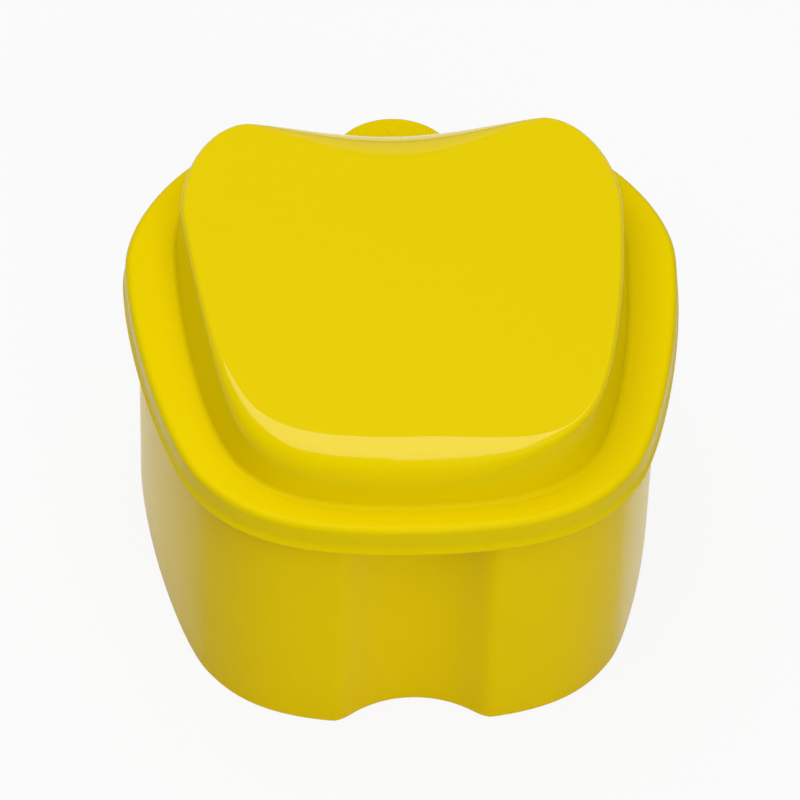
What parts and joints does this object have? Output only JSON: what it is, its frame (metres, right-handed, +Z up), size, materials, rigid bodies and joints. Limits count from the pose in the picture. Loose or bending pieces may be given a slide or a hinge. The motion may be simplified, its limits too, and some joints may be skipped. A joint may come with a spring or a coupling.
{
  "type": "denture case",
  "caption": "Tooth-shaped denture soaking case: a fluted cup, a drained basket hung on its rim, and a lift-off lid with raised top, skirted brim and thumb tab.",
  "frame": {"origin": "middle of the case's whole width and depth, thumb tab included, on the surface it stands on", "axes": "+Z up; +Y towards the thumb tab at the back, so the flute in the front faces -Y; +X to the right seen from the front"},
  "size_m": [0.09, 0.0924, 0.0602],
  "materials": {
    "yellow_plastic": "glossy moulded polypropylene, one warm yellow through the wall",
    "lid_plastic": "glossy moulded polypropylene in the cup's yellow, with a polished top",
    "basket_plastic": "satin white moulded polypropylene"
  },
  "bodies": {
    "cup": {"case_cup": "yellow_plastic"},
    "basket": {"strainer_basket": "basket_plastic"},
    "lid": {"lid": "lid_plastic"}
  },
  "joints": [
    {"name": "basket_lift", "type": "slide", "parent": "cup", "child": "basket", "axis": [0, 0, 1], "range_m": [0, 0.05]},
    {"name": "lid_lift", "type": "slide", "parent": "basket", "child": "lid", "axis": [0, 0, 1], "range_m": [0, 0.06]}
  ]
}
